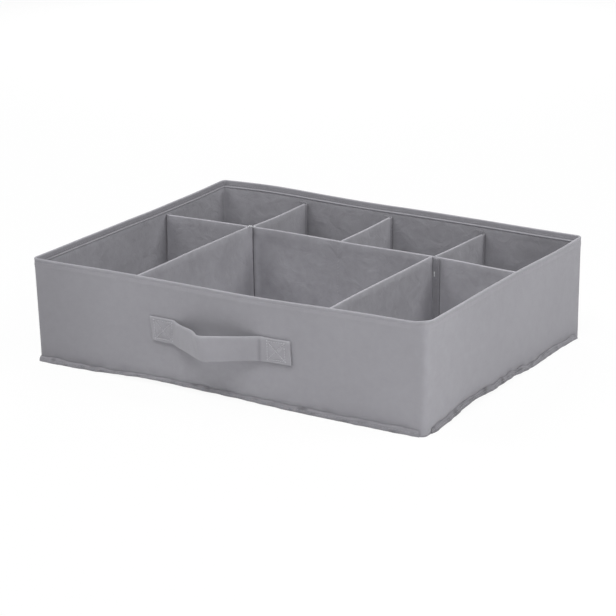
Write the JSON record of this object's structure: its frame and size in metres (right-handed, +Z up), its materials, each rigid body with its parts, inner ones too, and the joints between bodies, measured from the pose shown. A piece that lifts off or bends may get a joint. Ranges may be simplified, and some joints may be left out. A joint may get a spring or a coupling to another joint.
{
  "type": "drawer organizer",
  "caption": "Low open fabric box over stiff boards, with sewn-in dividers that make seven compartments, a turned-over rim and a strap handle on the front.",
  "frame": {"origin": "centre of the underside of the base, on the surface the box stands on", "axes": "+X to the right along the long side, +Y to the back, +Z up; the handle is on the front wall, which faces -Y"},
  "size_m": [0.445, 0.3703, 0.11],
  "materials": {
    "cover_fabric": "matt grey nonwoven fabric",
    "lining_fabric": "matt grey nonwoven fabric, inside",
    "divider_fabric": "matt grey nonwoven fabric, folded sleeve",
    "binding_fabric": "matt grey nonwoven fabric, sewn binding",
    "strap_fabric": "matt grey nonwoven fabric in folded layers",
    "thread": "grey polyester sewing thread",
    "greyboard": "plain grey board"
  },
  "bodies": {
    "box": {"outer_cover": "cover_fabric", "inner_lining": "lining_fabric", "front_wall_board": "greyboard", "back_wall_board": "greyboard", "left_wall_board": "greyboard", "right_wall_board": "greyboard", "base_outer_sheet": "cover_fabric", "base_board": "greyboard", "base_lining": "lining_fabric", "bottom_binding_front": "binding_fabric", "bottom_binding_back": "binding_fabric", "bottom_binding_left": "binding_fabric", "bottom_binding_right": "binding_fabric", "long_divider_sleeve": "divider_fabric", "long_divider_board": "greyboard", "front_left_divider_sleeve": "divider_fabric", "front_left_divider_board": "greyboard", "front_right_divider_sleeve": "divider_fabric", "front_right_divider_board": "greyboard", "back_left_divider_sleeve": "divider_fabric", "back_left_divider_board": "greyboard", "back_middle_divider_sleeve": "divider_fabric", "back_middle_divider_board": "greyboard", "back_right_divider_sleeve": "divider_fabric", "back_right_divider_board": "greyboard", "handle_left_end": "strap_fabric", "handle_right_end": "strap_fabric", "handle_left_stitching": "thread", "handle_right_stitching": "thread", "rim_stitching": "thread"},
    "grip": {"handle_grip": "strap_fabric"}
  },
  "joints": [
    {"name": "handle_swing", "type": "hinge", "parent": "box", "child": "grip", "pos_m": [-0.0035, -0.17125, 0.057], "axis": [1, 0, 0], "range_deg": [-35, 35], "stiffness_Nm_per_rad": 0.05}
  ]
}
